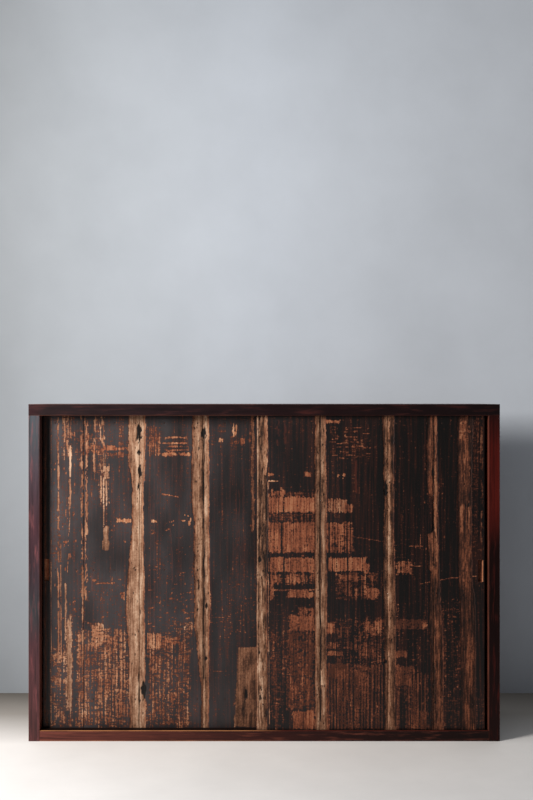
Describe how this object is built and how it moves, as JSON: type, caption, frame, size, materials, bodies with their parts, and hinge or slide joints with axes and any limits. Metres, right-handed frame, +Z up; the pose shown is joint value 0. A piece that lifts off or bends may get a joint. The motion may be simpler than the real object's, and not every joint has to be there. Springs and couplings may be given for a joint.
{
  "type": "kitchen cabinet",
  "caption": "Low wide Japanese kitchen cabinet: a post-and-rail case with two full-height sliding board doors in double grooves, over shelved compartments.",
  "frame": {"origin": "centre of the footprint on the floor, under the posts' feet", "axes": "+X to the right along the front, +Y from the front to the back, +Z up; the doors face -Y"},
  "size_m": [1.695, 0.455, 1.212],
  "materials": {
    "red_brown_lacquer": "worn satin lacquer",
    "worn_black_lacquer": "worn black lacquer over bare cedar",
    "brown_lacquer": "thin brown lacquer",
    "bare_cedar": "aged, unfinished",
    "forged_iron": "forged, dark"
  },
  "bodies": {
    "carcass": {"back_boards": "bare_cedar", "back_left_post": "brown_lacquer", "back_nails": "forged_iron", "back_right_post": "brown_lacquer", "bottom_back_rail": "bare_cedar", "bottom_left_rail": "brown_lacquer", "bottom_right_rail": "brown_lacquer", "floor_bearers": "bare_cedar", "floor_board_1": "bare_cedar", "floor_board_2": "bare_cedar", "floor_board_3": "bare_cedar", "front_left_post": "red_brown_lacquer", "front_right_post": "red_brown_lacquer", "head_rail": "red_brown_lacquer", "lower_left_panel": "brown_lacquer", "lower_right_panel": "brown_lacquer", "lower_shelf_back_rail": "bare_cedar", "lower_shelf_bearers": "bare_cedar", "lower_shelf_boards": "bare_cedar", "lower_shelf_front_rail": "bare_cedar", "lower_shelf_ledgers": "bare_cedar", "middle_back_rail": "bare_cedar", "middle_left_rail": "brown_lacquer", "middle_right_rail": "brown_lacquer", "sill": "red_brown_lacquer", "tenon_wedges": "brown_lacquer", "top_back_rail": "brown_lacquer", "top_bearers": "bare_cedar", "top_board_1": "brown_lacquer", "top_board_2": "brown_lacquer", "top_board_3": "brown_lacquer", "top_left_rail": "brown_lacquer", "top_nails": "forged_iron", "top_right_rail": "brown_lacquer", "upper_left_panel": "brown_lacquer", "upper_right_panel": "brown_lacquer", "upper_shelf_back_rail": "bare_cedar", "upper_shelf_bearers": "bare_cedar", "upper_shelf_boards": "bare_cedar", "upper_shelf_front_rail": "bare_cedar", "upper_shelf_ledgers": "bare_cedar"},
    "door_left": {"left_door_board_1": "worn_black_lacquer", "left_door_board_2": "worn_black_lacquer", "left_door_board_3": "worn_black_lacquer", "left_door_board_4": "worn_black_lacquer", "left_door_bottom_ledge": "bare_cedar", "left_door_middle_ledge": "bare_cedar", "left_door_nails": "forged_iron", "left_door_top_ledge": "bare_cedar"},
    "door_right": {"right_door_board_1": "worn_black_lacquer", "right_door_board_2": "worn_black_lacquer", "right_door_board_3": "worn_black_lacquer", "right_door_board_4": "worn_black_lacquer", "right_door_bottom_ledge": "bare_cedar", "right_door_middle_ledge": "bare_cedar", "right_door_nails": "forged_iron", "right_door_top_ledge": "bare_cedar"}
  },
  "joints": [
    {"name": "left_door_slide", "type": "slide", "parent": "carcass", "child": "door_left", "axis": [1, 0, 0], "range_m": [-0.002, 0.788]},
    {"name": "right_door_slide", "type": "slide", "parent": "carcass", "child": "door_right", "axis": [1, 0, 0], "range_m": [-0.7795, 0.0105]}
  ]
}
